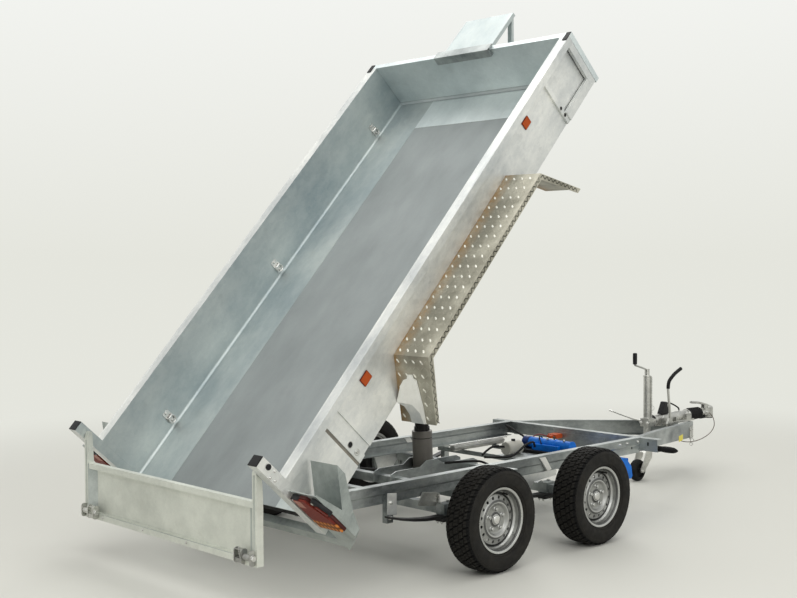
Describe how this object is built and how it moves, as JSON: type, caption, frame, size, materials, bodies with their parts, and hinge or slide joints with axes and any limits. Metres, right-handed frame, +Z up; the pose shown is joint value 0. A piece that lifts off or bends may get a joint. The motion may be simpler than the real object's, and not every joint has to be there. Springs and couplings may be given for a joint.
{
  "type": "tandem axle tipping trailer",
  "caption": "Galvanised rear tipping trailer with leaf sprung wheels, lifting ram, V drawbar, overrun coupling and jockey wheel, shown with its tub raised.",
  "frame": {"origin": "on the ground under the middle of the whole length and width, with the tub raised", "axes": "+X forward to the coupling, +Y left, +Z up"},
  "size_m": [5.2361, 2.151, 3.2003],
  "materials": {
    "galvanised": "hot dip galvanised, spangled",
    "floor_steel": "dull steel sheet",
    "chequer": "bright chequer plate",
    "zinc_plate": "bright zinc plated",
    "rim_silver": "silver enamel",
    "spring_black": "black spring steel",
    "ram_grey": "grey paint",
    "ram_steel": "hard chrome",
    "tyre": "road tyre",
    "rubber": "moulded",
    "black_plastic": "moulded",
    "blue_plastic": "satin",
    "white_plastic": "moulded",
    "lamp_red": "clear moulded lens"
  },
  "bodies": {
    "chassis": {"axle_front": "galvanised", "axle_rear": "galvanised", "battery_box": "black_plastic", "beam_left": "galvanised", "beam_right": "galvanised", "bellows": "rubber", "brake_hose": "rubber", "breakaway_cable": "zinc_plate", "coupling_head": "zinc_plate", "cross_bar": "galvanised", "drawbar_left": "galvanised", "drawbar_right": "galvanised", "front_crossmember": "galvanised", "handbrake_lever": "zinc_plate", "jockey_column": "zinc_plate", "leaf_springs_left": "spring_black", "leaf_springs_right": "spring_black", "lever_guard": "black_plastic", "oil_tank": "white_plastic", "overrun_housing": "zinc_plate", "pivot_tube": "galvanised", "plug": "black_plastic", "pump_motor": "blue_plastic", "ram_cradle": "galvanised", "spare_cylinder": "zinc_plate", "unit_tray": "galvanised", "wheel_chock": "blue_plastic"},
    "bed": {"bed_bearers": "galvanised", "bucket_rest": "galvanised", "floor_sheet": "floor_steel", "front_wall": "galvanised", "lamp_bar": "galvanised", "marker_lamp_left": "black_plastic", "marker_lamp_right": "black_plastic", "mudguard_left": "chequer", "mudguard_right": "chequer", "side_left": "galvanised", "side_right": "galvanised", "tail_lamp_left": "lamp_red", "tail_lamp_right": "lamp_red"},
    "tailgate": {"tailgate": "galvanised"},
    "ram_barrel": {"ram_barrel": "ram_grey"},
    "ram_stage_1": {"ram_stage_1": "ram_steel"},
    "ram_stage_2": {"ram_stage_2": "ram_steel"},
    "ram_stage_3": {"ram_stage_3": "ram_steel"},
    "wheel_rear_left": {"tyre_rear_left": "tyre", "rim_rear_left": "rim_silver"},
    "wheel_rear_right": {"tyre_rear_right": "tyre", "rim_rear_right": "rim_silver"},
    "wheel_front_left": {"tyre_front_left": "tyre", "rim_front_left": "rim_silver"},
    "wheel_front_right": {"tyre_front_right": "tyre", "rim_front_right": "rim_silver"},
    "jockey_fork": {"jockey_fork": "zinc_plate"},
    "jockey_wheel": {"jockey_wheel": "rubber"}
  },
  "joints": [
    {"name": "bed_tip", "type": "hinge", "parent": "chassis", "child": "bed", "pos_m": [-2.08972, 0, 0.49838], "axis": [0, 1, 0], "range_deg": [0, 47.42]},
    {"name": "tailgate_swing", "type": "hinge", "parent": "bed", "child": "tailgate", "pos_m": [-2.53976, 0, 0.69734], "axis": [0, 1, 0], "range_deg": [-47.42, 60]},
    {"name": "ram_tilt", "type": "hinge", "parent": "chassis", "child": "ram_barrel", "pos_m": [-0.687, 0, 0.4], "axis": [0, 1, 0], "range_deg": [0, 87.46]},
    {"name": "ram_slide_1", "type": "slide", "parent": "ram_barrel", "child": "ram_stage_1", "axis": [-0.0442, 0, 0.999], "range_m": [-0.31988, 0]},
    {"name": "ram_slide_2", "type": "slide", "parent": "ram_stage_1", "child": "ram_stage_2", "axis": [-0.0442, 0, 0.999], "range_m": [-0.31988, 0]},
    {"name": "ram_slide_3", "type": "slide", "parent": "ram_stage_2", "child": "ram_stage_3", "axis": [-0.0442, 0, 0.999], "range_m": [-0.31988, 0]},
    {"name": "wheel_rear_left", "type": "hinge", "parent": "chassis", "child": "wheel_rear_left", "pos_m": [-1.153, 0.9715, 0.2805], "axis": [0, 1, 0], "continuous": true},
    {"name": "wheel_rear_right", "type": "hinge", "parent": "chassis", "child": "wheel_rear_right", "pos_m": [-1.153, -0.9715, 0.2805], "axis": [0, 1, 0], "continuous": true},
    {"name": "wheel_front_left", "type": "hinge", "parent": "chassis", "child": "wheel_front_left", "pos_m": [-0.27, 0.9715, 0.2805], "axis": [0, 1, 0], "continuous": true},
    {"name": "wheel_front_right", "type": "hinge", "parent": "chassis", "child": "wheel_front_right", "pos_m": [-0.27, -0.9715, 0.2805], "axis": [0, 1, 0], "continuous": true},
    {"name": "jockey_swivel", "type": "hinge", "parent": "chassis", "child": "jockey_fork", "pos_m": [1.659, -0.04, 0.33], "axis": [0, 0, 1], "continuous": true},
    {"name": "jockey_spin", "type": "hinge", "parent": "jockey_fork", "child": "jockey_wheel", "pos_m": [1.537, -0.04, 0.08], "axis": [0, 1, 0], "continuous": true}
  ],
  "couplings": [
    {"joint": "ram_tilt", "follows": "bed_tip", "ratio": 1.8433},
    {"joint": "ram_slide_1", "follows": "bed_tip", "m_per_rad": -0.38626},
    {"joint": "ram_slide_2", "follows": "bed_tip", "m_per_rad": -0.38626},
    {"joint": "ram_slide_3", "follows": "bed_tip", "m_per_rad": -0.38626}
  ]
}
